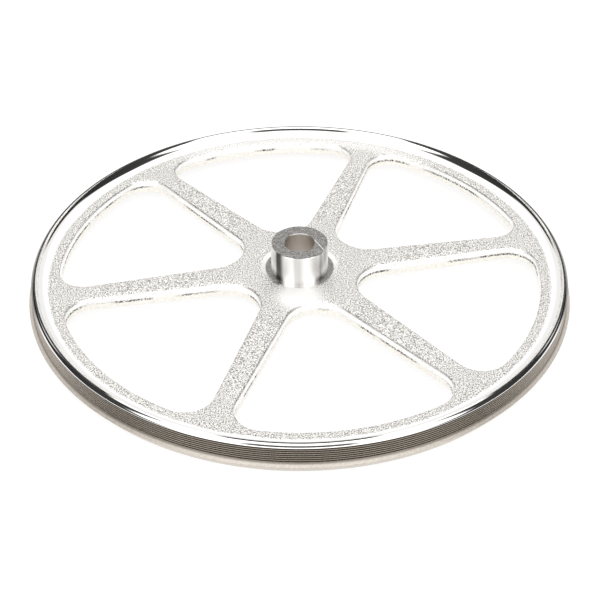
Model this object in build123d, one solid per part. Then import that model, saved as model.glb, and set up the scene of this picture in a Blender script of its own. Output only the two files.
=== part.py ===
from build123d import *
import math
import os

# Six-spoke multi-rib belt pulley, in millimetres and degrees.
# The origin is on the bore axis at the middle plane of the belt, and +Z points out of the hub's nose.
# The wheel lies on the back face of its rim.

# Belt grooves: a seven-rib PJ section.
groove_count = 7
groove_pitch = 2.34
groove_depth = 2.05
groove_tip_flat = 0.35
groove_root_flat = 0.50
tip_radius = 265.0

# Rim.
crest_top = 11.4
crest_inner_radius = 260.6
crest_outer_radius = 262.2
bevel_crown = 0.3
flange_radius = 268.9
flange_top = -10.3
flange_land = 0.9
skirt_radius = 262.4
rim_back = -20.6
back_land = 6.5

# Web, spokes and the openings between them. The web's front is a little dished: it falls outwards.
web_front_at_hub = 4.9
web_front_at_rim = 3.4
web_back = -11.5
web_radius = 246.0
front_wall_foot_radius = 250.0
opening_radius = 238.6
spoke_count = 6
first_spoke_angle = 11.6
spoke_root_half_width = 16.65
spoke_taper_angle = 1.58
hub_corner_radius = 33.0
rim_corner_radius = 26.0
front_edge_radius = 3.0
back_edge_radius = 2.5

# Centre boss of the casting.
back_boss_radius = 44.0
back_boss_z = -15.5
back_boss_fillet = 3.0
recess_floor_z = 2.7
recess_floor_radius = 34.2
recess_rim_radius = 38.0

# Hub sleeve.
sleeve_radius = 28.25
sleeve_front = 32.8
sleeve_back = -17.0
sleeve_edge_chamfer = 0.4
bore_radius = 15.0
bore_chamfer = 0.6
press_interference = 0.02

# Set screws, M6 with a hexagon socket and a cup point, each side of the line between two spokes.
screw_spread = 45.0
screw_z = 10.5
screw_radius = 3.0
screw_length = 12.0
screw_clearance = 0.05
screw_back_from_bore = 0.4
socket_across_flats = 3.0
socket_depth = 4.0
cup_radius = 1.5
cup_bottom_radius = 0.2
cup_depth = 0.8
screw_edge_chamfer = 0.5

# Where the casting is divided into its named pieces. The rim starts where the web ends, and its
# flange starts behind the belt grooves. The outer ring of the web is divided into the spokes' ends
# and the arcs between them.
boss_split_radius = 64.0
spoke_end_half_angle = 10.6

# How close a measured place has to be to count as lying on a face or an edge.
close = 1e-3
well_inside = 1.0

# Worked out from the above.
web_fall = (web_front_at_hub - web_front_at_rim) / (front_wall_foot_radius - recess_rim_radius)
groove_band_half = groove_count * groove_pitch / 2
root_radius = tip_radius - groove_depth
flange_foot = -groove_band_half - groove_tip_flat
sleeve_length = sleeve_front - sleeve_back
screw_tip = bore_radius + screw_back_from_bore
screw_head = screw_tip + screw_length
spoke_step = 360 / spoke_count
screw_middle_angle = first_spoke_angle + 1.5 * spoke_step
screw_angles = {
    "set_screw_1": screw_middle_angle - screw_spread,
    "set_screw_2": screw_middle_angle + screw_spread,
}
clear = 5.0


def ring(outer, inner, bottom, top):
    """A plain ring about the bore axis."""
    height = top - bottom
    centre = Pos(0, 0, (top + bottom) / 2)
    return centre * (Cylinder(outer, height) - Cylinder(inner, height + clear))


def disc(radius, bottom, top):
    """A plain disc about the bore axis."""
    return Pos(0, 0, (top + bottom) / 2) * Cylinder(radius, top - bottom)


def groove_points():
    """The grooved band from the front to the back, as (radius, z) points."""
    points = []
    flank = (groove_pitch - groove_tip_flat - groove_root_flat) / 2
    for number in range(groove_count):
        front = groove_band_half - number * groove_pitch
        mouth = front - groove_tip_flat / 2
        root = mouth - flank
        points += [
            (tip_radius, mouth),
            (root_radius, root),
            (root_radius, root - groove_root_flat),
            (tip_radius, root - groove_root_flat - flank),
        ]
    return points


def bevel_middle():
    """The middle of the crowned bevel between the crest and the first groove, as (radius, z)."""
    run = tip_radius - crest_outer_radius
    fall = crest_top - groove_band_half
    slope = math.hypot(run, fall)
    radius = crest_outer_radius + run / 2 + bevel_crown * fall / slope
    return radius, crest_top - fall / 2 + bevel_crown * run / slope


def concave_middle(foot, land, height):
    """The middle of an arc that leaves the web level at its foot and rises by height to a land, as
    (radius, rise)."""
    run = land - foot
    turn = 2 * math.atan2(height, run)
    arc_radius = run / math.sin(turn)
    half = turn / 2
    return foot + arc_radius * math.sin(half), arc_radius * (1 - math.cos(half))


def casting_outline():
    """Half of the casting's section, without openings, in the XZ plane."""
    front_rise = crest_top - web_front_at_rim
    front_mid_r, front_mid_rise = concave_middle(front_wall_foot_radius, crest_inner_radius, front_rise)
    back_inner = skirt_radius - back_land
    back_mid_r, back_mid_rise = concave_middle(web_radius, back_inner, web_back - rim_back)
    crest = [(crest_inner_radius, crest_top), (crest_outer_radius, crest_top)]
    outside = [
        (tip_radius, groove_band_half),
        *groove_points(),
        (tip_radius, flange_foot),
        (flange_radius, flange_top),
        (flange_radius, flange_top - flange_land),
        (skirt_radius, rim_back),
        (back_inner, rim_back),
    ]
    centre = [
        (web_radius, web_back),
        (back_boss_radius, web_back),
        (back_boss_radius, back_boss_z),
        (sleeve_radius - press_interference, back_boss_z),
        (sleeve_radius - press_interference, recess_floor_z),
        (recess_floor_radius, recess_floor_z),
        (recess_rim_radius, web_front_at_hub),
        (front_wall_foot_radius, web_front_at_rim),
    ]

    def in_section(point):
        return (point[0], 0, point[1])

    edges = Polyline(*[in_section(point) for point in crest])
    edges += ThreePointArc(in_section(crest[-1]), in_section(bevel_middle()), in_section(outside[0]))
    edges += Polyline(*[in_section(point) for point in outside])
    edges += ThreePointArc(
        in_section(outside[-1]),
        in_section((back_mid_r, web_back - back_mid_rise)),
        in_section(centre[0]),
    )
    edges += Polyline(*[in_section(point) for point in centre])
    edges += ThreePointArc(
        in_section(centre[-1]),
        in_section((front_mid_r, web_front_at_rim + front_mid_rise)),
        in_section(crest[0]),
    )
    return make_face(edges.edges())


def opening_prism(number):
    """The space between two spokes, with its three rounded corners, cut through the web."""
    half_angle = spoke_step / 2 + spoke_taper_angle
    apex = spoke_root_half_width / math.sin(math.radians(half_angle))
    reach = opening_radius * 1.5
    side = reach * math.tan(math.radians(half_angle))
    wedge = Polygon((apex, 0), (apex + reach, -side), (apex + reach, side), align=None)
    outline = wedge & Circle(opening_radius)
    corners = outline.vertices().sort_by(Axis.X)
    outline = fillet(corners[0], hub_corner_radius)
    outer = outline.vertices().sort_by(lambda vertex: -vertex.center().length)[:2]
    outline = fillet(outer, rim_corner_radius)
    angle = first_spoke_angle + (number + 0.5) * spoke_step
    prism = extrude(outline, web_front_at_hub - web_back + 2 * clear)
    return Rot(0, 0, angle) * Pos(0, 0, web_back - clear) * prism


def web_front_height(radius):
    """The height of the web's dished front face at a radius."""
    return web_front_at_hub - web_fall * (radius - recess_rim_radius)


def opening_edges(solid, height):
    """The edges of the openings that lie in one face of the web, given that face's height by radius."""
    found = []
    for edge in solid.edges():
        spots = [edge.position_at(part) for part in (0, 0.5, 1)]
        radii = [math.hypot(spot.X, spot.Y) for spot in spots]
        in_face = all(abs(spot.Z - height(radius)) < close for spot, radius in zip(spots, radii))
        if in_face and back_boss_radius + well_inside < radii[1] < web_radius - well_inside:
            found.append(edge)
    return found


def wheel_casting():
    """Rim, spokes and boss in one piece, before it is divided."""
    casting = revolve(casting_outline(), Axis.Z)
    for number in range(spoke_count):
        casting -= opening_prism(number)
    casting = fillet(opening_edges(casting, web_front_height), front_edge_radius)
    casting = fillet(opening_edges(casting, lambda radius: web_back), back_edge_radius)
    boss_corner = [
        edge for edge in casting.edges().filter_by(GeomType.CIRCLE)
        if abs(edge.radius - back_boss_radius) < close and abs(edge.center().Z - web_back) < close
    ]
    return fillet(boss_corner, back_boss_fillet)


def arc_space(number):
    """The space of the web's outer ring beside one opening, between the ends of two spokes."""
    reach = 2 * flange_radius
    side = reach * math.tan(math.radians(spoke_step / 2 - spoke_end_half_angle))
    wedge = Polygon((0, 0), (reach, -side), (reach, side), align=None)
    angle = first_spoke_angle + (number + 0.5) * spoke_step
    sector = Rot(0, 0, angle) * Pos(0, 0, -reach) * extrude(wedge, 2 * reach)
    return sector - disc(opening_radius - clear, -reach, reach)


def divide(casting):
    """The casting's pieces by name: its rim, flange and boss, and the web arcs and spokes in order."""
    tall = flange_radius
    behind = disc(flange_radius + clear, -tall, flange_foot)
    rim = casting - disc(web_radius, -tall, tall)
    pieces = {
        "grooved_rim": rim - behind,
        "back_flange": rim & behind,
        "centre_boss": casting & disc(boss_split_radius, -tall, tall),
    }
    rest = casting & ring(web_radius, boss_split_radius, -tall, tall)
    for number in range(spoke_count):
        space = arc_space(number)
        pieces[f"web_arc_{number + 1}"] = rest & space
        rest -= space
    spokes = sorted(rest.solids(), key=lambda spoke: math.degrees(
        math.atan2(spoke.center().Y, spoke.center().X)) % 360)
    for number, spoke in enumerate(spokes, start=1):
        pieces[f"spoke_{number}"] = spoke
    return pieces


def radial(angle):
    """The placement of something modelled along +Z whose length runs out along a radius."""
    return Rot(0, 0, angle) * Pos(0, 0, screw_z) * Rot(0, 90, 0)


def hub_sleeve():
    """The turned hub with its shaft bore and two radial screw holes."""
    sleeve = disc(sleeve_radius, sleeve_back, sleeve_front)
    sleeve = chamfer(sleeve.edges().filter_by(GeomType.CIRCLE), sleeve_edge_chamfer)
    sleeve -= disc(bore_radius, sleeve_back - clear, sleeve_front + clear)
    mouths = [
        edge for edge in sleeve.edges().filter_by(GeomType.CIRCLE)
        if abs(edge.radius - bore_radius) < close
    ]
    sleeve = chamfer(mouths, bore_chamfer)
    for angle in screw_angles.values():
        hole = Pos(0, 0, sleeve_radius) * Cylinder(screw_radius + screw_clearance, sleeve_radius * 2)
        sleeve -= radial(angle) * hole
    return sleeve


def set_screw(angle):
    """A socket set screw, its cup point just short of the bore."""
    body = Pos(0, 0, screw_tip + screw_length / 2) * Cylinder(screw_radius, screw_length)
    body = chamfer(body.edges().filter_by(GeomType.CIRCLE), screw_edge_chamfer)
    socket = extrude(RegularPolygon(socket_across_flats / math.sqrt(3), 6), socket_depth + clear)
    body -= Pos(0, 0, screw_head - socket_depth) * socket
    cup = Cone(cup_radius, cup_bottom_radius, cup_depth, align=(Align.CENTER, Align.CENTER, Align.MIN))
    body -= Pos(0, 0, screw_tip) * cup
    return radial(angle) * body


def write_part():
    os.makedirs("parts", exist_ok=True)
    pieces = divide(wheel_casting())
    pieces["hub_sleeve"] = hub_sleeve()
    for name, angle in screw_angles.items():
        pieces[name] = set_screw(angle)
    for name, piece in pieces.items():
        export_step(piece, f"parts/{name}.step")


write_part()
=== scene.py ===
import math

import bmesh
import bpy
from mathutils import Matrix, Vector, noise as solid_noise


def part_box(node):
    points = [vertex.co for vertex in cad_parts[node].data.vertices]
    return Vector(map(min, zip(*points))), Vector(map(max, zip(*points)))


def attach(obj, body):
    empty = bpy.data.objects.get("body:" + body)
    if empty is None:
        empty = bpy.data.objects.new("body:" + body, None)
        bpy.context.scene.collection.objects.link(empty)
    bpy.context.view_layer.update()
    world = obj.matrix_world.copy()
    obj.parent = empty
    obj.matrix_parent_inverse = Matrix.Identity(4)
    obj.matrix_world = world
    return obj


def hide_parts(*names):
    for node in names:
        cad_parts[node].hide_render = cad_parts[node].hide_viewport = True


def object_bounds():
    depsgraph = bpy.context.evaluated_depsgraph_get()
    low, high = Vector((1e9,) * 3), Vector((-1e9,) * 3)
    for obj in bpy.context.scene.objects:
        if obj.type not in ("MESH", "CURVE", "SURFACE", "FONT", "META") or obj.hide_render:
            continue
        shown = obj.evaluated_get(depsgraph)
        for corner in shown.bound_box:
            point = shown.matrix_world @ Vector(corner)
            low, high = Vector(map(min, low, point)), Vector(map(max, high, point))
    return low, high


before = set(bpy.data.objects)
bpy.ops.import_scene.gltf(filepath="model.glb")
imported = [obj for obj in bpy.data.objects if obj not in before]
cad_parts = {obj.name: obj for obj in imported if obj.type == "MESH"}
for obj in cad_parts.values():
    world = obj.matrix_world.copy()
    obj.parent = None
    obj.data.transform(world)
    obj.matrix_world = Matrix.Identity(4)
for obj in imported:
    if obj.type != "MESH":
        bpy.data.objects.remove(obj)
cad_box = [list(corner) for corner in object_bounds()]

# Sizes in metres, in the frame of the CAD model. The wheel's axis is Z.
CREST_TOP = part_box("grooved_rim")[1].z
SLEEVE_LOW, SLEEVE_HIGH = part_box("hub_sleeve")
FLANGE_LOW, FLANGE_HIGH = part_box("back_flange")
FLANGE_RADIUS = FLANGE_HIGH.x
RIM_BACK = FLANGE_LOW.z

# Belt grooves.
GROOVE_COUNT = 7
GROOVE_PITCH = 0.00234
GROOVE_DEPTH = 0.00205
GROOVE_TIP_FLAT = 0.00035
GROOVE_ROOT_FLAT = 0.00050
GROOVE_ROUND = 0.00012
TIP_RADIUS = 0.2650

# Rim section. The web's front is a little dished: it falls outwards.
WEB_FRONT_AT_HUB = 0.0049
WEB_FRONT_AT_RIM = 0.0034
WEB_BACK = -0.0115
WEB_RADIUS = 0.2460
FRONT_WALL_FOOT = 0.2500
CREST_INNER = 0.2606
CREST_OUTER = 0.2622
BEVEL_CROWN = 0.0003
FLANGE_TOP = -0.0103
FLANGE_LAND = 0.0009
SKIRT_RADIUS = 0.2624
BACK_LAND = 0.0065
EDGE_BREAK = 0.0003

# The fillets between the web and the rim are this share of the ones that would just reach the lands.
FILLET_SHARE = 0.999

# Spokes and the openings between them.
SPOKE_COUNT = 6
FIRST_SPOKE_ANGLE = math.radians(11.6)
HALF_SECTOR = math.pi / SPOKE_COUNT
OPENING_RADIUS = 0.2386
SPOKE_ROOT_HALF_WIDTH = 0.01665
SPOKE_TAPER = math.radians(1.58)
HUB_CORNER = 0.0330
RIM_CORNER = 0.0260
FRONT_EDGE = 0.0030
BACK_EDGE = 0.0025

# The trimmed flash along the casting's parting line, halfway down the walls of the openings. It is
# torn off cleanly in most places. Its grain and its stretches are in features per metre. Its height is
# a share of FLASH_PROUD: the mean, how much its grain and its stretches change it, and the least.
FLASH_Z = -0.0042
FLASH_HALF_HEIGHT = 0.0006
FLASH_PROUD = 0.0005
FLASH_GRAIN = 420
FLASH_STRETCHES = 21
FLASH_MEAN = 0.3
FLASH_GRAIN_SHARE = 0.6
FLASH_STRETCH_SHARE = 1.6
FLASH_LEAST = 0.05

# Centre boss and hub sleeve.
BOSS_RADIUS = 0.0520
BACK_BOSS_RADIUS = 0.0440
BACK_BOSS_Z = -0.0155
BACK_BOSS_FILLET = 0.0030
RECESS_FLOOR = 0.0027
RECESS_FLOOR_RADIUS = 0.0342
RECESS_RIM_RADIUS = 0.0380
SLEEVE_RADIUS = 0.02825
SLEEVE_EDGE = 0.0004
BORE_RADIUS = 0.0150
BORE_CHAMFER = 0.0006

# The fine line scribed across the hub's face, from the bore's mouth to the outer edge.
SCRIBE_START = Vector((0.0152, 0.0040))
SCRIBE_END = Vector((0.0246, -0.0142))
SCRIBE_WIDTH = 0.0007
SCRIBE_DEPTH = 0.0003
SCRIBE_RUN_OUT = 4 * SCRIBE_WIDTH

# Set screws, M6. The thread of each hole meshes with its screw's both at rest and twelve turns out.
SCREW_RADIUS = 0.0030
SCREW_HOLE_RADIUS = 0.00305
SCREW_PITCH = 0.0010
THREAD_DEPTH = 0.0005
SCREW_LENGTH = 0.0120
SCREW_TIP = 0.0154
SCREW_MIDDLE_ANGLE = FIRST_SPOKE_ANGLE + 3 * HALF_SECTOR
SCREW_SPREAD = math.radians(45)
SCREW_ANGLES = [SCREW_MIDDLE_ANGLE - SCREW_SPREAD, SCREW_MIDDLE_ANGLE + SCREW_SPREAD]
SCREW_Z = 0.0105
SOCKET_FLATS = 0.0030
SOCKET_DEPTH = 0.0040
SOCKET_MOUTH = 0.0003
DRILL_POINT = 0.0005
DRILL_TIP_RADIUS = (SCREW_RADIUS - THREAD_DEPTH) / 6
CUP_RADIUS = 0.0015
CUP_DEPTH = 0.0008
CUP_FLOOR_RADIUS = CUP_RADIUS / 8

# How finely round shapes are divided, and the sharpest turn that is shaded smooth.
RIM_SEGMENTS = 600
HUB_SEGMENTS = 256
BEVEL_STEPS = 8
FRONT_EDGE_STEPS = 8
BACK_EDGE_STEPS = 6
SPOKE_END_STEPS = 40
SCREW_SEGMENTS = 60
THREAD_ROWS = 10
COLUMN_STEP = 0.0011
ARC_STEP = math.radians(7.5)
SMOOTH_TURN = math.radians(28)


# Outlines.

def arc_points(centre, radius, start, end, steps):
    """Points along an arc, both ends included."""
    points = []
    for i in range(steps + 1):
        angle = start + (end - start) * i / steps
        points.append((centre[0] + radius * math.cos(angle), centre[1] + radius * math.sin(angle)))
    return points


def rounded(corners):
    """An open path through corners given as (x, y, fillet radius), with an arc at each fillet."""
    path = []
    for i, (x, y, radius) in enumerate(corners):
        here = Vector((x, y))
        if radius == 0 or i in (0, len(corners) - 1):
            path.append((x, y))
            continue
        before = (Vector(corners[i - 1][:2]) - here).normalized()
        after = (Vector(corners[i + 1][:2]) - here).normalized()
        opening = before.angle(after)
        reach = radius / math.tan(opening / 2)
        centre = here + (before + after).normalized() * radius / math.sin(opening / 2)
        start, end = here + before * reach - centre, here + after * reach - centre
        first = math.atan2(start.y, start.x)
        turn = math.remainder(math.atan2(end.y, end.x) - first, 2 * math.pi)
        steps = max(2, math.ceil(abs(turn) / ARC_STEP))
        path += arc_points(centre, radius, first, first + turn, steps)
    return path


def web_front(radius):
    """The height of the web's dished front at a radius."""
    fall = (WEB_FRONT_AT_HUB - WEB_FRONT_AT_RIM) / (FRONT_WALL_FOOT - RECESS_RIM_RADIUS)
    return WEB_FRONT_AT_HUB - fall * (radius - RECESS_RIM_RADIUS)


# Meshes.

def new_object(name, bm, materials):
    """An object with smooth faces and sharp edges where the surface turns by more than SMOOTH_TURN."""
    bmesh.ops.recalc_face_normals(bm, faces=bm.faces)
    mesh = bpy.data.meshes.new(name)
    bm.to_mesh(mesh)
    bm.free()
    for polygon in mesh.polygons:
        polygon.use_smooth = True
    mesh.set_sharp_from_angle(angle=SMOOTH_TURN)
    for material in materials:
        mesh.materials.append(material)
    piece = bpy.data.objects.new(name, mesh)
    bpy.context.scene.collection.objects.link(piece)
    return piece


def lathe(runs, segments):
    """A closed ring turned from runs of (radius, z) points. Each run has its own material number."""
    bm = bmesh.new()
    columns, materials = [], []
    for number, run in enumerate(runs):
        shared = 1 if number else 0
        columns += run[shared:]
        materials += [number] * (len(run) - 1)
    materials.append(0)
    rings = []
    for step in range(segments):
        angle = 2 * math.pi * step / segments
        cos, sin = math.cos(angle), math.sin(angle)
        rings.append([bm.verts.new((r * cos, r * sin, z)) for r, z in columns])
    for step in range(segments):
        here, there = rings[step], rings[(step + 1) % segments]
        for i, material in enumerate(materials):
            j = (i + 1) % len(columns)
            face = bm.faces.new((here[i], there[i], there[j], here[j]))
            face.material_index = material
    return bm


def stack(rings):
    """A closed solid skinned over rings of points, with a flat face on its first and last ring."""
    bm = bmesh.new()
    placed = [[bm.verts.new(point) for point in ring] for ring in rings]
    for here, there in zip(placed, placed[1:]):
        for i in range(len(here)):
            j = (i + 1) % len(here)
            bm.faces.new((here[i], here[j], there[j], there[i]))
    bm.faces.new(placed[0])
    bm.faces.new(placed[-1])
    return bm


# The casting: rim, spokes and centre boss.

def groove_corners():
    """The corners of the belt grooves, from the front of the rim to the back."""
    flank = (GROOVE_PITCH - GROOVE_TIP_FLAT - GROOVE_ROOT_FLAT) / 2
    corners = []
    for number in range(GROOVE_COUNT):
        mouth = (GROOVE_COUNT / 2 - number) * GROOVE_PITCH - GROOVE_TIP_FLAT / 2
        root = mouth - flank
        corners += [
            (TIP_RADIUS, mouth, GROOVE_ROUND),
            (TIP_RADIUS - GROOVE_DEPTH, root, GROOVE_ROUND),
            (TIP_RADIUS - GROOVE_DEPTH, root - GROOVE_ROOT_FLAT, GROOVE_ROUND),
            (TIP_RADIUS, root - GROOVE_ROOT_FLAT - flank, GROOVE_ROUND),
        ]
    return corners


def crowned(start, end, crown, steps):
    """Points along an arc from start to end that stands proud of the straight line by crown."""
    chord = Vector(end) - Vector(start)
    radius = (chord.length ** 2 / 4 + crown ** 2) / (2 * crown)
    proud = Vector((-chord.y, chord.x)).normalized()
    centre = (Vector(start) + Vector(end)) / 2 + proud * (crown - radius)
    first, last = Vector(start) - centre, Vector(end) - centre
    return arc_points(centre, radius, math.atan2(first.y, first.x), math.atan2(last.y, last.x), steps)


def concave_wall(foot_radius, land_radius, land_z, web_z):
    """The fillet between the web and one of the rim's lands, as one corner."""
    run, rise = land_radius - foot_radius, abs(land_z - web_z)
    slope = 2 * math.atan2(rise, run)
    radius = run / math.sin(slope)
    return (foot_radius + radius * math.tan(slope / 2), web_z, radius * FILLET_SHARE)


def make_rim():
    """The rim: concave wall, crest, bevel, belt grooves, and flange with the back."""
    band = GROOVE_COUNT * GROOVE_PITCH / 2
    back_inner = SKIRT_RADIUS - BACK_LAND
    wall = rounded([
        (WEB_RADIUS, web_front(WEB_RADIUS), 0),
        concave_wall(FRONT_WALL_FOOT, CREST_INNER, CREST_TOP, WEB_FRONT_AT_RIM),
        (CREST_INNER, CREST_TOP, 0),
    ])
    crest = [(CREST_INNER, CREST_TOP), (CREST_OUTER, CREST_TOP)]
    bevel = crowned(crest[-1], (TIP_RADIUS, band), BEVEL_CROWN, BEVEL_STEPS)
    grooves = rounded([(TIP_RADIUS, band, 0), *groove_corners(), (TIP_RADIUS, -band, 0)])
    back = rounded([
        (TIP_RADIUS, -band, 0),
        (TIP_RADIUS, -band - GROOVE_TIP_FLAT, EDGE_BREAK),
        (FLANGE_RADIUS, FLANGE_TOP, EDGE_BREAK),
        (FLANGE_RADIUS, FLANGE_TOP - FLANGE_LAND, EDGE_BREAK),
        (SKIRT_RADIUS, RIM_BACK, 2 * EDGE_BREAK),
        (back_inner, RIM_BACK, 2 * EDGE_BREAK),
        concave_wall(WEB_RADIUS, back_inner, RIM_BACK, WEB_BACK),
        (WEB_RADIUS, WEB_BACK, 0),
    ])
    surfaces = [turned_aluminium(), crest_land(), bevel_metal(), groove_metal(), flange_metal()]
    return new_object("rim", lathe([wall, crest, bevel, grooves, back], RIM_SEGMENTS), surfaces)


def opening_side():
    """One side of an opening beside a spoke that lies along X, from the middle of its outer arc to
    the middle of its hub corner, as (point, direction into the opening) pairs. Also the number of
    pairs on the outer arc."""
    edge_normal = Vector((math.sin(SPOKE_TAPER), math.cos(SPOKE_TAPER)))
    towards_edge = -math.pi / 2 - SPOKE_TAPER
    offset = SPOKE_ROOT_HALF_WIDTH + RIM_CORNER
    reach = OPENING_RADIUS - RIM_CORNER
    rim_angle = math.pi / 2 - SPOKE_TAPER - math.acos(offset / reach)
    rim_centre = Vector((math.cos(rim_angle), math.sin(rim_angle))) * reach
    hub_reach = (SPOKE_ROOT_HALF_WIDTH + HUB_CORNER) / math.sin(HALF_SECTOR + SPOKE_TAPER)
    hub_centre = Vector((math.cos(HALF_SECTOR), math.sin(HALF_SECTOR))) * hub_reach

    def steps(radius, turn):
        return math.ceil(abs(radius * turn) / COLUMN_STEP)

    outer = arc_points((0, 0), OPENING_RADIUS, HALF_SECTOR, rim_angle,
                       steps(OPENING_RADIUS, HALF_SECTOR - rim_angle))
    side = [(Vector(point), -Vector(point).normalized()) for point in outer]
    for point in arc_points(rim_centre, RIM_CORNER, rim_angle, towards_edge,
                            steps(RIM_CORNER, rim_angle - towards_edge))[1:]:
        side.append((Vector(point), (rim_centre - Vector(point)).normalized()))
    start = side[-1][0]
    end = hub_centre - edge_normal * HUB_CORNER
    straight = math.ceil((end - start).length / COLUMN_STEP)
    for step in range(1, straight):
        side.append((start.lerp(end, step / straight), edge_normal.copy()))
    for point in arc_points(hub_centre, HUB_CORNER, towards_edge, HALF_SECTOR - math.pi,
                            steps(HUB_CORNER, HALF_SECTOR - math.pi - towards_edge)):
        side.append((Vector(point), (hub_centre - Vector(point)).normalized()))
    return side, len(outer)


# The material numbers of a spoke's surfaces, in the order in which make_spoke lists the materials.
SKIN, FLASH, LOWER_WALL, UPPER_WALL = range(4)


def wall_profile(front, flash):
    """The wall of an opening from the web's front to its back, as (depth into the metal, z), and the
    material number of each stretch. The flash stands proud by the given distance."""
    front_centre = (FRONT_EDGE, front - FRONT_EDGE)
    back_centre = (BACK_EDGE, WEB_BACK + BACK_EDGE)
    top = arc_points(front_centre, FRONT_EDGE, math.pi / 2, math.pi, FRONT_EDGE_STEPS)
    ridge = [
        (0, FLASH_Z + 2 * FLASH_HALF_HEIGHT),
        (-flash, FLASH_Z + FLASH_HALF_HEIGHT),
        (-flash, FLASH_Z - FLASH_HALF_HEIGHT),
        (0, FLASH_Z - 2 * FLASH_HALF_HEIGHT),
    ]
    back = arc_points(back_centre, BACK_EDGE, math.pi, 1.5 * math.pi, BACK_EDGE_STEPS)
    half = len(top) // 2
    surfaces = [SKIN] * half + [UPPER_WALL] * (len(top) - half)
    surfaces += [FLASH] * (len(ridge) - 1) + [LOWER_WALL] * len(back)
    return top + ridge + back, surfaces


def flash_height(place):
    """How far the flash stands proud at a place: torn and uneven, and gone in some stretches."""
    fine = solid_noise.noise(place * FLASH_GRAIN)
    broad = solid_noise.noise(place * FLASH_STRETCHES)
    share = FLASH_MEAN + FLASH_GRAIN_SHARE * fine + FLASH_STRETCH_SHARE * broad
    return FLASH_PROUD * min(1.0, max(FLASH_LEAST, share))


def opening_walls(bm, place, side, turn):
    """The walls of the openings on both sides of a spoke, each as columns of points from front to back."""
    walls = []
    for flip in (1, -1):
        wall = []
        for point, inward in side:
            point, inward = Vector((point.x, flip * point.y)), Vector((inward.x, flip * inward.y))
            flat_edge = point - inward * FRONT_EDGE
            proud = flash_height((turn @ point).to_3d())
            profile, surfaces = wall_profile(web_front(flat_edge.length), proud)
            wall.append([place(point - inward * depth, z) for depth, z in profile])
        for here, there in zip(wall, wall[1:]):
            for i, surface in enumerate(surfaces):
                face = bm.faces.new((here[i], here[i + 1], there[i + 1], there[i]))
                face.material_index = surface
        walls.append(wall)
    return walls


def spoke_face(bm, place, side, outer_count, edges, outer_z, inner_z):
    """The front or the back of a spoke, out to the rim and in to the boss, between the edges of its two
    walls. It returns the points along the rim and the points along the boss."""
    left, right = edges
    web_arcs = []
    for flip in (1, -1):
        web_arcs.append([
            place(Vector((point.x, flip * point.y)).normalized() * WEB_RADIUS, outer_z)
            for point, _ in side[:outer_count]
        ])
    for edge, web_arc in zip(edges, web_arcs):
        for i in range(outer_count - 1):
            bm.faces.new((edge[i], edge[i + 1], web_arc[i + 1], web_arc[i]))
    foot = outer_count - 1
    foot_angle = math.atan2(side[foot][0].y, side[foot][0].x)
    foot_arc = arc_points((0, 0), WEB_RADIUS, foot_angle, -foot_angle, SPOKE_END_STEPS)[1:-1]
    spoke_end = [place(point, outer_z) for point in foot_arc]
    bm.faces.new([left[foot], web_arcs[0][-1], *spoke_end, web_arcs[1][-1], right[foot]])
    for i in range(foot, len(side) - 1):
        bm.faces.new((left[i], left[i + 1], right[i + 1], right[i]))
    boss_steps = HUB_SEGMENTS // SPOKE_COUNT
    boss_arc = arc_points((0, 0), BOSS_RADIUS, HALF_SECTOR, -HALF_SECTOR, boss_steps)
    along_boss = [place(point, inner_z) for point in boss_arc]
    bm.faces.new([left[-1], *along_boss, right[-1]])
    return web_arcs[0] + spoke_end + web_arcs[1][::-1], along_boss


def make_spoke(number):
    """One spoke with its share of the web ring and of the metal beside the hub."""
    turn = Matrix.Rotation(FIRST_SPOKE_ANGLE + 2 * (number - 1) * HALF_SECTOR, 2)
    side, outer_count = opening_side()
    bm = bmesh.new()

    def place(point, z):
        x, y = turn @ Vector(point)
        return bm.verts.new((x, y, z))

    walls = opening_walls(bm, place, side, turn)
    front_edges = [[column[0] for column in wall] for wall in walls]
    back_edges = [[column[-1] for column in wall] for wall in walls]
    front_heights = web_front(WEB_RADIUS), web_front(BOSS_RADIUS)
    front = spoke_face(bm, place, side, outer_count, front_edges, *front_heights)
    back = spoke_face(bm, place, side, outer_count, back_edges, WEB_BACK, WEB_BACK)
    for front_arc, back_arc in zip(front, back):
        for i in range(len(front_arc) - 1):
            bm.faces.new((front_arc[i], front_arc[i + 1], back_arc[i + 1], back_arc[i]))
    for wall, end in zip(walls, (0, -1)):
        for front_arc, back_arc, column in zip(front, back, (wall[0], wall[-1])):
            bm.faces.new([front_arc[end], *column, back_arc[end]])
    surfaces = [cast_aluminium(), parting_line(), lower_wall(), upper_wall()]
    return new_object(f"spoke_{number}_casting", bm, surfaces)


def make_boss():
    """The middle of the web, with the turned recess round the hub."""
    web = [(BOSS_RADIUS, web_front(BOSS_RADIUS)), (RECESS_RIM_RADIUS, WEB_FRONT_AT_HUB)]
    recess_wall = [(RECESS_RIM_RADIUS, WEB_FRONT_AT_HUB), (RECESS_FLOOR_RADIUS, RECESS_FLOOR)]
    recess_floor = [(RECESS_FLOOR_RADIUS, RECESS_FLOOR), (SLEEVE_RADIUS, RECESS_FLOOR)]
    back = rounded([
        (SLEEVE_RADIUS, RECESS_FLOOR, 0),
        (SLEEVE_RADIUS, BACK_BOSS_Z, 0),
        (BACK_BOSS_RADIUS, BACK_BOSS_Z, 2 * EDGE_BREAK),
        (BACK_BOSS_RADIUS, WEB_BACK, BACK_BOSS_FILLET),
        (BOSS_RADIUS, WEB_BACK, 0),
    ])
    surfaces = [cast_aluminium(), upper_wall(), recess_metal(), cast_aluminium()]
    return new_object("boss", lathe([web, recess_wall, recess_floor, back], HUB_SEGMENTS), surfaces)


# The hub sleeve and its set screws.

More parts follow.
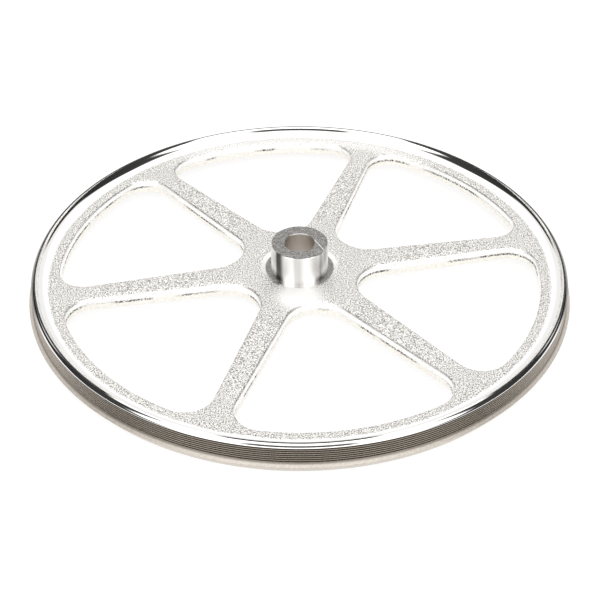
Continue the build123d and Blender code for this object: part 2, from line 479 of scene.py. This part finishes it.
def radial(angle):
    """Places something modelled along +Z so that its length runs out along a radius of the hub."""
    lift = Matrix.Translation((0, 0, SCREW_Z))
    return Matrix.Rotation(angle, 4, "Z") @ lift @ Matrix.Rotation(math.pi / 2, 4, "Y")


def circle(radius, z):
    """One ring of a screw, as points about its own axis."""
    return [Vector((x, y, z)) for x, y in arc_points((0, 0), radius, 0, 2 * math.pi, SCREW_SEGMENTS)[:-1]]


def hexagon(across_flats, z):
    """A hexagonal ring with as many points as a round one."""
    points = []
    for i in range(SCREW_SEGMENTS):
        angle = 2 * math.pi * i / SCREW_SEGMENTS
        off_flat = math.remainder(angle, math.pi / 3)
        reach = across_flats / 2 / math.cos(off_flat)
        points.append(Vector((reach * math.cos(angle), reach * math.sin(angle), z)))
    return points


def thread_rings(outer_radius, bottom, top, run_out):
    """Rings of an M6 thread. It runs out to its root at both ends of a screw, if run_out is true."""
    rings = []
    rows = math.ceil((top - bottom) / SCREW_PITCH * THREAD_ROWS)
    for row in range(rows + 1):
        z = bottom + (top - bottom) * row / rows
        limit = outer_radius
        if run_out:
            limit = outer_radius - THREAD_DEPTH + min(z - bottom, top - z)
        ring = []
        for i in range(SCREW_SEGMENTS):
            angle = 2 * math.pi * i / SCREW_SEGMENTS
            phase = (z / SCREW_PITCH - i / SCREW_SEGMENTS) % 1
            radius = min(limit, outer_radius - THREAD_DEPTH * abs(2 * phase - 1))
            ring.append(Vector((radius * math.cos(angle), radius * math.sin(angle), z)))
        rings.append(ring)
    return rings


def make_set_screw(name, angle):
    """A threaded set screw with a cup point, and a hexagon socket that ends in a drill point."""
    head = SCREW_TIP + SCREW_LENGTH
    rings = [
        circle(CUP_FLOOR_RADIUS, SCREW_TIP + CUP_DEPTH),
        circle(CUP_RADIUS, SCREW_TIP),
        *thread_rings(SCREW_RADIUS, SCREW_TIP, head, True),
        hexagon(SOCKET_FLATS + 2 * SOCKET_MOUTH, head),
        hexagon(SOCKET_FLATS, head - SOCKET_MOUTH),
        hexagon(SOCKET_FLATS, head - SOCKET_DEPTH),
        circle(DRILL_TIP_RADIUS, head - SOCKET_DEPTH - DRILL_POINT),
    ]
    place = radial(angle)
    bm = stack([[place @ point for point in ring] for ring in rings])
    return new_object(f"{name}_body", bm, [black_oxide()])


def screw_hole(angle):
    """What is cut from the sleeve for one tapped hole."""
    inside, outside = BORE_RADIUS / 2, SLEEVE_RADIUS + 2 * THREAD_DEPTH
    rings = thread_rings(SCREW_HOLE_RADIUS, inside, outside, False)
    place = radial(angle)
    bm = stack([[place @ point for point in ring] for ring in rings])
    return new_object("tapped_hole", bm, [bored_steel()])


def scribe_cutter():
    """What is cut from the hub's face for the scribed line: a bar with a V-shaped underside."""
    along = (SCRIBE_END - SCRIBE_START).normalized()
    across = Vector((-along.y, along.x)) * SCRIBE_WIDTH / 2
    face = SLEEVE_HIGH.z
    rings = []
    for end in (SCRIBE_START - along * SCRIBE_WIDTH, SCRIBE_END + along * SCRIBE_RUN_OUT):
        rings.append([
            (end - across).to_3d() + Vector((0, 0, face)),
            end.to_3d() + Vector((0, 0, face - SCRIBE_DEPTH)),
            (end + across).to_3d() + Vector((0, 0, face)),
            (end + across).to_3d() + Vector((0, 0, face + SCRIBE_WIDTH)),
            (end - across).to_3d() + Vector((0, 0, face + SCRIBE_WIDTH)),
        ])
    return new_object("scribe", stack(rings), [polished_steel()])


def cut(piece, cutters):
    """Takes the cutters out of a piece. The cut faces take the cutters' materials."""
    for cutter in cutters:
        modifier = piece.modifiers.new("cut", "BOOLEAN")
        modifier.operation = "DIFFERENCE"
        modifier.solver = "EXACT"
        modifier.material_mode = "TRANSFER"
        modifier.object = cutter
    view = bpy.context.evaluated_depsgraph_get()
    cut_mesh = bpy.data.meshes.new_from_object(piece.evaluated_get(view))
    piece.modifiers.clear()
    piece.data = cut_mesh
    for cutter in cutters:
        bpy.data.objects.remove(cutter)
    cut_mesh.set_sharp_from_angle(angle=SMOOTH_TURN)


def make_sleeve():
    """The hub sleeve: polished outside, matt front end and bored middle, with its tapped holes."""
    front, back = SLEEVE_HIGH.z, SLEEVE_LOW.z
    mouth = BORE_RADIUS + BORE_CHAMFER
    outside = rounded([
        (SLEEVE_RADIUS - SLEEVE_EDGE, back, 0),
        (SLEEVE_RADIUS, back + SLEEVE_EDGE, EDGE_BREAK),
        (SLEEVE_RADIUS, front - SLEEVE_EDGE, EDGE_BREAK),
        (SLEEVE_RADIUS - SLEEVE_EDGE, front, 0),
    ])
    face = [(SLEEVE_RADIUS - SLEEVE_EDGE, front), (mouth, front)]
    chamfer = [(mouth, front), (BORE_RADIUS, front - BORE_CHAMFER)]
    bore = [(BORE_RADIUS, front - BORE_CHAMFER), (BORE_RADIUS, back + BORE_CHAMFER)]
    end = [(BORE_RADIUS, back + BORE_CHAMFER), (mouth, back), (SLEEVE_RADIUS - SLEEVE_EDGE, back)]
    surfaces = [polished_steel(), faced_steel(), bright_chamfer(), bored_steel(), faced_steel()]
    sleeve = new_object("sleeve", lathe([outside, face, chamfer, bore, end], HUB_SEGMENTS), surfaces)
    cut(sleeve, [screw_hole(angle) for angle in SCREW_ANGLES] + [scribe_cutter()])
    return sleeve


# Materials. Noise scales are in features per metre.

def material(name, colour, roughness):
    """A new material, metal unless that is changed, and its shader."""
    made = bpy.data.materials.new(name)
    made.use_nodes = True
    shader = made.node_tree.nodes["Principled BSDF"]
    shader.inputs["Base Color"].default_value = (*colour, 1)
    shader.inputs["Metallic"].default_value = 1.0
    shader.inputs["Roughness"].default_value = roughness
    return made, shader


def node(owner, kind, **settings):
    """A new shader node. Settings that name a socket set its value, and the others set the node."""
    made = owner.node_tree.nodes.new(kind)
    for key, value in settings.items():
        if key in made.inputs:
            made.inputs[key].default_value = value
        else:
            setattr(made, key, value)
    return made


def link(owner, source, target):
    """A link from an output to an input."""
    owner.node_tree.links.new(source, target)


def noise(owner, scale, detail=2.0, roughness=0.5):
    """Noise over the object's own coordinates."""
    place = node(owner, "ShaderNodeTexCoord")
    texture = node(owner, "ShaderNodeTexNoise", Scale=scale, Detail=detail, Roughness=roughness)
    link(owner, place.outputs["Object"], texture.inputs["Vector"])
    return texture.outputs["Fac"]


def ramp(owner, source, stops):
    """A colour ramp from stops given as (place on the ramp, colour)."""
    made = node(owner, "ShaderNodeValToRGB")
    elements = made.color_ramp.elements
    while len(elements) < len(stops):
        elements.new(0.5)
    for element, (stop, colour) in zip(elements, stops):
        element.position = stop
        element.color = (*colour, 1)
    link(owner, source, made.inputs["Fac"])
    return made.outputs["Color"]


def remap(owner, source, to_low, to_high, from_low=0.0, from_high=1.0, soft=False):
    """source stretched from one range to another, easing in and out where soft."""
    made = node(owner, "ShaderNodeMapRange", interpolation_type="SMOOTHSTEP" if soft else "LINEAR")
    made.inputs["From Min"].default_value = from_low
    made.inputs["From Max"].default_value = from_high
    made.inputs["To Min"].default_value = to_low
    made.inputs["To Max"].default_value = to_high
    link(owner, source, made.inputs["Value"])
    return made.outputs["Result"]


def calculate(owner, operation, first, second=0):
    """One step of arithmetic on one or two values, each of them a socket or a number."""
    made = node(owner, "ShaderNodeMath", operation=operation)
    for value, target in ((first, made.inputs[0]), (second, made.inputs[1])):
        if isinstance(value, (int, float)):
            target.default_value = value
        else:
            link(owner, value, target)
    return made.outputs["Value"]


# A mix node has a set of sockets for each type of data. These are the numbers of the colour ones.
MIX_FACTOR, MIX_FIRST, MIX_SECOND, MIX_RESULT = 0, 6, 7, 2


def blend_colour(owner, factor, first, second):
    """The first colour, a socket, turning into the second, a plain colour, as factor goes to 1."""
    made = node(owner, "ShaderNodeMix", data_type="RGBA")
    link(owner, factor, made.inputs[MIX_FACTOR])
    link(owner, first, made.inputs[MIX_FIRST])
    made.inputs[MIX_SECOND].default_value = (*second, 1)
    return made.outputs[MIX_RESULT]


def bump(owner, height, distance):
    """A surface raised by up to distance where height is 1."""
    made = node(owner, "ShaderNodeBump", Strength=1.0, Distance=distance)
    link(owner, height, made.inputs["Height"])
    return made.outputs["Normal"]


def axis_distance(owner):
    """The distance from the wheel's axis at each point of the surface."""
    place = node(owner, "ShaderNodeTexCoord")
    flatten = node(owner, "ShaderNodeVectorMath", operation="MULTIPLY")
    flatten.inputs[1].default_value = (1, 1, 0)
    length = node(owner, "ShaderNodeVectorMath", operation="LENGTH")
    link(owner, place.outputs["Object"], flatten.inputs[0])
    link(owner, flatten.outputs["Vector"], length.inputs[0])
    return length.outputs["Value"]


def turn_from_near(owner, x, y):
    """The angle between the direction (x, y) and -Y, either way round."""
    sideways = calculate(owner, "ABSOLUTE", x)
    return calculate(owner, "ARCTAN2", sideways, calculate(owner, "MULTIPLY", y, -1))


def position(owner, coordinates="Object"):
    """The coordinates of each point, as sockets named X, Y and Z."""
    place = node(owner, "ShaderNodeTexCoord")
    split = node(owner, "ShaderNodeSeparateXYZ")
    link(owner, place.outputs[coordinates], split.inputs["Vector"])
    return split.outputs


def angle_from_near(owner):
    """How far round the axis each point is from the wheel's near side, either way."""
    here = position(owner)
    return turn_from_near(owner, here["X"], here["Y"])


def round_stretch(owner, middle, spread, inside, outside):
    """One value inside a stretch of the wheel, on its left and right alike, and another outside it.
    Its middle is an angle from the near side, and its edges are soft."""
    past_middle = calculate(owner, "SUBTRACT", angle_from_near(owner), middle)
    off_middle = calculate(owner, "ABSOLUTE", past_middle)
    start, end = spread * (1 - SOFT_EDGE), spread * (1 + SOFT_EDGE)
    return remap(owner, off_middle, inside, outside, start, end, soft=True)


def tool_lines(owner, along, per_metre):
    """Tool marks, as noise along a distance: one from the axis, or one along it."""
    lines = node(owner, "ShaderNodeTexNoise", noise_dimensions="1D", Scale=per_metre, Detail=1.0)
    link(owner, along, lines.inputs["W"])
    return lines.outputs["Fac"]


def once(make):
    """Makes a material the first time that it is asked for, and gives the same one after that."""
    made = []

    def get():
        if not made:
            made.append(make())
        return made[0]
    return get


# The casting's skin: its tints by the level of its grain, its grain and its pits in features per metre,
# its least and greatest roughness, and the colour of its painted highlights.
CAST_TINTS = [
    (0.39, (0.22, 0.21, 0.195)),
    (0.48, (0.64, 0.62, 0.59)),
    (0.57, (0.96, 0.945, 0.915)),
]
CAST_GRAIN = 840
CAST_PITS = 70
CAST_ROUGH = (0.28, 0.42)
SKIN_HIGHLIGHT = (1.0, 0.995, 0.98)

# A painted highlight brightens the web in front of the hub, standing for the hub's glare on it: how
# much, the middle of the patch, its core and its full reach.
HUB_GLARE_SHARE = 0.95
HUB_GLARE_MIDDLE = (0.0, -0.0500)
HUB_GLARE_CORE = 0.0120
HUB_GLARE_REACH = 0.0320

# A painted highlight brightens it too where it meets the rim on the far side: how much, between which
# radii, and between which angles from the near side.
FAR_SIDE_HIGHLIGHT_SHARE = 0.4
FAR_SIDE_HIGHLIGHT_RING = (0.2290, 0.2400)
FAR_SIDE_HIGHLIGHT_ANGLES = (math.radians(135), math.radians(160))

# Where the rim's casting skin gives way to turned metal, how far that edge wanders in and out, and how
# deep the turning marks are beside the skin's grain.
TURNED_FROM = (0.2470, 0.2510)
TURNED_WANDER = 0.0016
TURNED_MARKS = 0.004

# The rim's crest has painted highlights on two stretches, and its bevel painted dark reflections on two:
# the middle of each stretch, from the wheel's near side, and its half width. SOFT_EDGE is a share of the
# half width.
CREST_HIGHLIGHT_MIDDLE = math.radians(27)
CREST_HIGHLIGHT_SPREAD = math.radians(12)
BEVEL_REFLECTION_MIDDLE = math.radians(98)
BEVEL_REFLECTION_SPREAD = math.radians(30)
SOFT_EDGE = 0.2


def skin_tint(owner, grain):
    """The colour of the casting skin: speckled, and lightened by painted highlights."""
    place = node(owner, "ShaderNodeTexCoord")
    reach = node(owner, "ShaderNodeVectorMath", operation="DISTANCE")
    reach.inputs[1].default_value = (*HUB_GLARE_MIDDLE, WEB_FRONT_AT_HUB)
    link(owner, place.outputs["Object"], reach.inputs[0])
    away = reach.outputs["Value"]
    # Painted highlight: the hub's glare on the web in front of it.
    hub_glare = remap(owner, away, HUB_GLARE_SHARE, 0, HUB_GLARE_CORE, HUB_GLARE_REACH, soft=True)
    # Painted highlight: a brighter ring by the rim on the far side of the wheel.
    far = remap(owner, angle_from_near(owner), 0, FAR_SIDE_HIGHLIGHT_SHARE, *FAR_SIDE_HIGHLIGHT_ANGLES, soft=True)
    ring = remap(owner, axis_distance(owner), 0, 1, *FAR_SIDE_HIGHLIGHT_RING, soft=True)
    painted_highlight = calculate(owner, "MAXIMUM", hub_glare, calculate(owner, "MULTIPLY", far, ring))
    return blend_colour(owner, painted_highlight, ramp(owner, grain, CAST_TINTS), SKIN_HIGHLIGHT)


@once
def cast_aluminium():
    """Blasted casting skin: bright, with a fine glinting grain."""
    made, shader = material("cast_aluminium", (0.8, 0.79, 0.77), 0.35)
    grain = noise(made, CAST_GRAIN, 1.0, 0.8)
    pits = noise(made, CAST_PITS, 3.0)
    # The skin's tint carries painted highlights from skin_tint.
    link(made, skin_tint(made, grain), shader.inputs["Base Color"])
    link(made, remap(made, pits, *CAST_ROUGH), shader.inputs["Roughness"])
    link(made, bump(made, grain, 0.0007), shader.inputs["Normal"])
    return made


# The levels of noise between which the parting line goes from torn, dark with dirt and painted shade, to
# clean.
CLEAN_STRETCHES = (0.54, 0.48)


@once
def parting_line():
    """The edge where the casting's flash was trimmed off: torn in stretches, which are dark with dirt and
    painted shade.
    """
    made, shader = material("parting_line", (0.4, 0.39, 0.37), 0.5)
    tears = noise(made, 640, 3.0, 0.7)
    # Painted shade, with dirt, darkens the torn stretches.
    torn = ramp(made, tears, [
        (0.44, (0.03, 0.028, 0.025)),
        (0.50, (0.30, 0.28, 0.26)),
        (0.55, (0.95, 0.93, 0.88)),
    ])
    stretches = remap(made, noise(made, FLASH_STRETCHES, 1.0), 0, 1, *CLEAN_STRETCHES)
    link(made, blend_colour(made, stretches, torn, (0.97, 0.955, 0.92)), shader.inputs["Base Color"])
    link(made, remap(made, tears, 0.35, 0.7), shader.inputs["Roughness"])
    link(made, bump(made, tears, 0.0012), shader.inputs["Normal"])
    return made


@once
def upper_wall():
    """The rounded upper edges and walls of the openings, worn smooth and bright."""
    made, shader = material("upper_wall", (0.97, 0.965, 0.95), 0.4)
    grain = noise(made, CAST_GRAIN / 2, 2.0)
    tint = ramp(made, grain, [(0.30, (0.80, 0.785, 0.755)), (0.46, (0.985, 0.975, 0.955))])
    link(made, tint, shader.inputs["Base Color"])
    link(made, bump(made, grain, 0.0003), shader.inputs["Normal"])
    return made


@once
def lower_wall():
    """The walls of the openings below the parting line, smoother and a little creamy."""
    made, shader = material("lower_wall", (0.93, 0.90, 0.84), 0.5)
    grain = noise(made, CAST_GRAIN / 2, 2.0)
    tint = ramp(made, grain, [(0.35, (0.86, 0.83, 0.765)), (0.6, (0.95, 0.925, 0.87))])
    link(made, tint, shader.inputs["Base Color"])
    link(made, bump(made, grain, 0.0002), shader.inputs["Normal"])
    return made


@once
def turned_aluminium():
    """The rim's wall: casting skin at its foot, then bright turned metal up to the crest."""
    made, shader = material("turned_aluminium", (0.9, 0.895, 0.88), 0.08)
    grain = noise(made, CAST_GRAIN, 1.0, 0.8)
    radius = axis_distance(made)
    wander = remap(made, noise(made, 150, 3.0), -TURNED_WANDER, TURNED_WANDER)
    turned = remap(made, calculate(made, "ADD", radius, wander), 0, 1, *TURNED_FROM, soft=True)
    # The skin's tint carries painted highlights from skin_tint.
    tint = blend_colour(made, turned, skin_tint(made, grain), (0.93, 0.925, 0.91))
    mottle = remap(made, noise(made, 40, 3.0), 0.04, 0.09)
    cast_share = calculate(made, "SUBTRACT", 1.0, turned)
    cast_rough = calculate(made, "MULTIPLY", cast_share, sum(CAST_ROUGH) / 2)
    height = calculate(made, "MULTIPLY", cast_share, grain)
    lines = calculate(made, "MULTIPLY", tool_lines(made, radius, 7000), TURNED_MARKS)
    link(made, tint, shader.inputs["Base Color"])
    link(made, calculate(made, "ADD", mottle, cast_rough), shader.inputs["Roughness"])
    link(made, bump(made, calculate(made, "ADD", height, lines), 0.0009), shader.inputs["Normal"])
    return made


@once
def crest_land():
    """The narrow land at the top of the rim: painted dark as a reflection, with painted highlights on two
    stretches.
    """
    made, shader = material("crest_land", (0.12, 0.115, 0.11), 0.3)
    # Painted highlights on two stretches, over a dark painted reflection mottled by noise.
    painted_highlight = round_stretch(made, CREST_HIGHLIGHT_MIDDLE, CREST_HIGHLIGHT_SPREAD, 1, 0)
    mottle = ramp(made, noise(made, 300, 3.0), [(0.35, (0.02, 0.019, 0.018)), (0.65, (0.07, 0.068, 0.065))])
    link(made, blend_colour(made, painted_highlight, mottle, (0.93, 0.92, 0.90)), shader.inputs["Base Color"])
    return made


@once
def bevel_metal():
    """The bevel outside the crest: bright turned metal, with painted dark reflections on the wheel's left
    and right.
    """
    made, shader = material("bevel_metal", (0.9, 0.895, 0.88), 0.1)
    # Painted dark reflections on the wheel's left and right, lined by turning marks.
    bright = round_stretch(made, BEVEL_REFLECTION_MIDDLE, BEVEL_REFLECTION_SPREAD, 0, 1)
    lines = tool_lines(made, axis_distance(made), 1800)
    dark_reflection = ramp(made, lines, [(0.35, (0.05, 0.048, 0.045)), (0.65, (0.30, 0.29, 0.27))])
    link(made, blend_colour(made, bright, dark_reflection, (0.93, 0.925, 0.91)), shader.inputs["Base Color"])
    link(made, remap(made, noise(made, 40, 3.0), 0.04, 0.12), shader.inputs["Roughness"])
    return made


@once
def groove_metal():
    """Belt grooves: matt aluminium, browned by grime from the belt and darkened deep down by painted shade.
    """
    made, shader = material("groove_metal", (0.3, 0.27, 0.24), 0.3)
    stain = noise(made, 90, 4.0)
    depth = remap(made, axis_distance(made), 0, 1, TIP_RADIUS - GROOVE_DEPTH, TIP_RADIUS)
    # Painted shade with grime: darker towards the groove roots.
    tint = ramp(made, depth, [
        (0.0, (0.10, 0.085, 0.07)),
        (0.7, (0.245, 0.215, 0.185)),
        (1.0, (0.47, 0.43, 0.38)),
    ])
    link(made, tint, shader.inputs["Base Color"])
    link(made, remap(made, stain, 0.18, 0.36), shader.inputs["Roughness"])
    return made


# Painted shade, standing for the grooves' shadow, browns the slope beside them: between which heights, and
# how much.
GROOVE_SHADE_HEIGHTS = (-0.0095, -0.0086)
GROOVE_SHADE_SHARE = 0.8


@once
def flange_metal():
    """The back flange and skirt: warm turned aluminium with fine stains, and painted shade beside the
    grooves.
    """
    made, shader = material("flange_metal", (0.6, 0.56, 0.51), 0.35)
    stain = noise(made, 420, 3.0, 0.6)
    # Painted shade below the grooves, browner and darker near them.
    groove_shade = remap(made, position(made)["Z"], 0, GROOVE_SHADE_SHARE, *GROOVE_SHADE_HEIGHTS, soft=True)
    clean = ramp(made, stain, [(0.36, (0.57, 0.52, 0.46)), (0.64, (0.68, 0.63, 0.57))])
    tint = blend_colour(made, groove_shade, clean, (0.20, 0.175, 0.15))
    link(made, tint, shader.inputs["Base Color"])
    link(made, remap(made, stain, 0.30, 0.45), shader.inputs["Roughness"])
    link(made, bump(made, noise(made, CAST_GRAIN, 2.0), 0.0001), shader.inputs["Normal"])
    return made


# The angles from the near side between which the floor of the recess goes from a painted bright reflection
# to a painted dark one.
RECESS_REFLECTION_FADE = (math.radians(25), math.radians(55))


@once
def recess_metal():
    """The floor of the recess round the hub: painted dark reflections, mottled by its grain, at the sides,
    a painted bright reflection in front, and fine turning marks.
    """
    made, shader = material("recess_metal", (0.3, 0.29, 0.28), 0.3)
    grain = noise(made, 700, 3.0, 0.7)
    # Painted reflections: bright in front of the hub, dark towards its left and right.
    front_reflection = remap(made, angle_from_near(made), 1, 0, *RECESS_REFLECTION_FADE, soft=True)
    dark_reflection = ramp(made, grain, [(0.36, (0.10, 0.095, 0.09)), (0.62, (0.36, 0.35, 0.33))])
    tint = blend_colour(made, front_reflection, dark_reflection, (0.97, 0.96, 0.94))
    link(made, tint, shader.inputs["Base Color"])
    link(made, remap(made, grain, 0.15, 0.35), shader.inputs["Roughness"])
    lines = tool_lines(made, axis_distance(made), 2600)
    link(made, bump(made, lines, 0.0001), shader.inputs["Normal"])
    return made


# The hub's tints, with painted reflections as dark bands, from its left side (0) by its near side (0.5) to
# its right side (1).
HUB_BRIGHT = (0.98, 0.97, 0.95)
HUB_REFLECTION_STREAKS = [
    (0.185, HUB_BRIGHT),
    (0.210, (0.20, 0.195, 0.185)),
    (0.265, (0.20, 0.195, 0.185)),
    (0.315, HUB_BRIGHT),
    (0.415, HUB_BRIGHT),
    (0.450, (0.70, 0.69, 0.67)),
    (0.500, (0.70, 0.69, 0.67)),
    (0.560, HUB_BRIGHT),
    (0.730, HUB_BRIGHT),
    (0.765, (0.55, 0.54, 0.52)),
    (0.800, HUB_BRIGHT),
]


@once
def polished_steel():
    """The hub's bright side, whose turning marks draw its reflections out along the axis. Two dark bands
    along it and a faint one between them are painted reflections."""
    made, shader = material("polished_steel", (0.96, 0.95, 0.93), 0.3)
    left_or_right = calculate(made, "SIGN", position(made)["X"])
    side = calculate(made, "MULTIPLY", angle_from_near(made), left_or_right)
    # Painted reflections: dark bands down the hub's side, placed by the angle from the near side.
    painted_reflections = ramp(made, remap(made, side, 0, 1, -math.pi / 2, math.pi / 2), HUB_REFLECTION_STREAKS)
    link(made, painted_reflections, shader.inputs["Base Color"])
    shader.inputs["Anisotropic"].default_value = 0.95
    shader.inputs["Anisotropic Rotation"].default_value = 0.25
    around = node(made, "ShaderNodeTangent", direction_type="RADIAL", axis="Z")
    link(made, around.outputs["Tangent"], shader.inputs["Tangent"])
    link(made, remap(made, noise(made, 90, 3.0), 0.26, 0.34), shader.inputs["Roughness"])
    return made


@once
def bright_chamfer():
    """The freshly cut chamfer at the bore's mouth."""
    made, shader = material("bright_chamfer", (0.60, 0.59, 0.57), 0.35)
    link(made, remap(made, noise(made, 500, 3.0), 0.30, 0.42), shader.inputs["Roughness"])
    return made


@once
def faced_steel():
    """The hub's end faces: dark, matt and mottled."""
    made, shader = material("faced_steel", (0.35, 0.34, 0.33), 0.4)
    grain = noise(made, 900, 4.0, 0.8)
    tint = ramp(made, grain, [
        (0.38, (0.09, 0.087, 0.083)),
        (0.50, (0.23, 0.222, 0.213)),
        (0.62, (0.52, 0.507, 0.49)),
    ])
    link(made, tint, shader.inputs["Base Color"])
    link(made, remap(made, grain, 0.25, 0.42), shader.inputs["Roughness"])
    link(made, bump(made, grain, 0.0003), shader.inputs["Normal"])
    return made


@once
def bored_steel():
    """The bore's warm grey wall with fine boring lines."""
    made, shader = material("bored_steel", (0.72, 0.675, 0.63), 0.4)
    lines = tool_lines(made, position(made)["Z"], 2500)
    link(made, remap(made, noise(made, 120, 3.0), 0.32, 0.48), shader.inputs["Roughness"])
    link(made, bump(made, lines, 0.00005), shader.inputs["Normal"])
    return made


@once
def black_oxide():
    """Black oxide on steel, worn a little brighter in patches."""
    made, shader = material("black_oxide", (0.03, 0.03, 0.032), 0.4)
    wear = noise(made, 900, 4.0, 0.6)
    tint = ramp(made, wear, [(0.5, (0.025, 0.025, 0.028)), (0.72, (0.12, 0.115, 0.11))])
    link(made, tint, shader.inputs["Base Color"])
    link(made, remap(made, wear, 0.3, 0.5), shader.inputs["Roughness"])
    return made


# Pieces and the bodies that they ride on.

def fit_piece(piece, body, slot, *node_names):
    """Gives a piece its body, and hides the nodes that it takes the place of. Its slot is not used."""
    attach(piece, body)
    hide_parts(*node_names)


fit_piece(make_rim(), "wheel", "turned_aluminium", "grooved_rim", "back_flange")
for number in range(1, SPOKE_COUNT + 1):
    fit_piece(make_spoke(number), "wheel", "cast_aluminium", f"spoke_{number}", f"web_arc_{number}")
fit_piece(make_boss(), "wheel", "cast_aluminium", "centre_boss")
fit_piece(make_sleeve(), "wheel", "polished_steel", "hub_sleeve")
for number, angle in enumerate(SCREW_ANGLES, start=1):
    screw = f"set_screw_{number}"
    fit_piece(make_set_screw(screw, angle), screw, "blackened_steel", screw)


# Floor, light and camera.

FLOOR_SIZE = 12
FLOOR_GLOW = 0.82

# The camera's place is given from a point on the wheel's axis, and it looks at a target nearer to it.
AXIS_POINT = Vector((0, 0, 0.0108))
CAMERA_ELEVATION = math.radians(36.09)
CAMERA_DISTANCE = 1.308
CAMERA_TARGET = Vector((0.0004, -0.0644, 0.0108))
CAMERA_LENS = 78.59
SENSOR_WIDTH = 36

# The studio's light: its strength over the camera, behind the wheel (low down and higher up) and
# overhead. Each pair of plain numbers below is where a soft step starts and ends, in degrees of height
# above the horizon or of angle round from the near side.
NEAR_LIGHT = 1.8
FAR_LIGHT = (0.95, 1.45)
ROOF_LIGHT = 1.5
FAR_HEIGHTS = (22, 48)
NEAR_ANGLES = (115, 50)
ROOF_HEIGHTS = (50, 80)

# A dark panel stands at each side: how far it reaches from the side, low down and higher up, how soft
# its edge and its top are, and the light that is left on it.
PANEL_SPREAD = (math.radians(45), math.radians(22))
PANEL_SPREAD_HEIGHTS = (8, 24)
PANEL_EDGE = (4, -4)
PANEL_TOP = (62, 52)
PANEL_LIGHT = 0.03

# A dark patch stands where the camera is. It takes these shares of the light, low down and higher up.
PATCH_SHARE = (0.97, 0.4)
PATCH_SHARE_HEIGHTS = (38, 43)
PATCH_SIDE = (28, 18)
PATCH_BOTTOM = (18, 21)
PATCH_TOP = (50, 47)


def make_floor():
    """A plain pale floor under the rim's back face."""
    bpy.ops.mesh.primitive_plane_add(size=FLOOR_SIZE, location=(0, 0, cad_box[0][2]))
    floor = bpy.context.object
    floor.name = "floor"
    made, shader = material("floor_white", (0.25, 0.25, 0.25), 0.9)
    shader.inputs["Metallic"].default_value = 0.0
    shader.inputs["Emission Color"].default_value = (1, 1, 1, 1)
    shader.inputs["Emission Strength"].default_value = FLOOR_GLOW
    floor.data.materials.append(made)


def make_world():
    """A studio: bright over the camera, softer behind the wheel, and dark at both sides and in one
    patch where the camera stands. The camera itself sees plain white behind the floor."""
    world = bpy.data.worlds.new("studio")
    bpy.context.scene.world = world
    world.use_nodes = True
    background = world.node_tree.nodes["Background"]
    towards = position(world, "Generated")
    height = calculate(world, "ARCSINE", towards["Z"])
    away = turn_from_near(world, towards["X"], towards["Y"])

    def soft_step(source, degrees, low=0, high=1):
        start, end = (math.radians(angle) for angle in degrees)
        return remap(world, source, low, high, start, end, soft=True)

    def product(first, second):
        return calculate(world, "MULTIPLY", first, second)

    def blend(factor, first, second):
        change = calculate(world, "SUBTRACT", second, first)
        return calculate(world, "ADD", first, product(factor, change))

    far_wall = soft_step(height, FAR_HEIGHTS, *FAR_LIGHT)
    walls = blend(soft_step(away, NEAR_ANGLES), far_wall, NEAR_LIGHT)
    tent = blend(soft_step(height, ROOF_HEIGHTS), walls, ROOF_LIGHT)

    off_side = calculate(world, "ABSOLUTE", calculate(world, "SUBTRACT", away, math.pi / 2))
    spread = soft_step(height, PANEL_SPREAD_HEIGHTS, *PANEL_SPREAD)
    past_edge = calculate(world, "SUBTRACT", off_side, spread)
    panel = product(soft_step(past_edge, PANEL_EDGE), soft_step(height, PANEL_TOP))
    panel_shade = remap(world, panel, 1, PANEL_LIGHT)

    upright = product(soft_step(height, PATCH_BOTTOM), soft_step(height, PATCH_TOP))
    patch = product(soft_step(away, PATCH_SIDE), upright)
    patch_share = soft_step(height, PATCH_SHARE_HEIGHTS, *PATCH_SHARE)
    patch_shade = calculate(world, "SUBTRACT", 1.0, product(patch, patch_share))

    light = product(tent, product(panel_shade, patch_shade))
    ray = node(world, "ShaderNodeLightPath")
    seen = calculate(world, "MAXIMUM", light, ray.outputs["Is Camera Ray"])
    link(world, seen, background.inputs["Strength"])
    background.inputs["Color"].default_value = (1, 1, 1, 1)


def make_camera():
    """The camera, in front of the wheel and above it."""
    lens = bpy.data.cameras.new("camera")
    lens.lens = CAMERA_LENS
    lens.sensor_width = SENSOR_WIDTH
    camera = bpy.data.objects.new("camera", lens)
    bpy.context.scene.collection.objects.link(camera)
    reach = Vector((0, -math.cos(CAMERA_ELEVATION), math.sin(CAMERA_ELEVATION)))
    camera.location = AXIS_POINT + reach * CAMERA_DISTANCE
    aim = CAMERA_TARGET - camera.location
    camera.rotation_euler = aim.to_track_quat("-Z", "Y").to_euler()
    bpy.context.scene.camera = camera


make_floor()
make_world()
make_camera()
bpy.context.scene.view_settings.view_transform = "Standard"
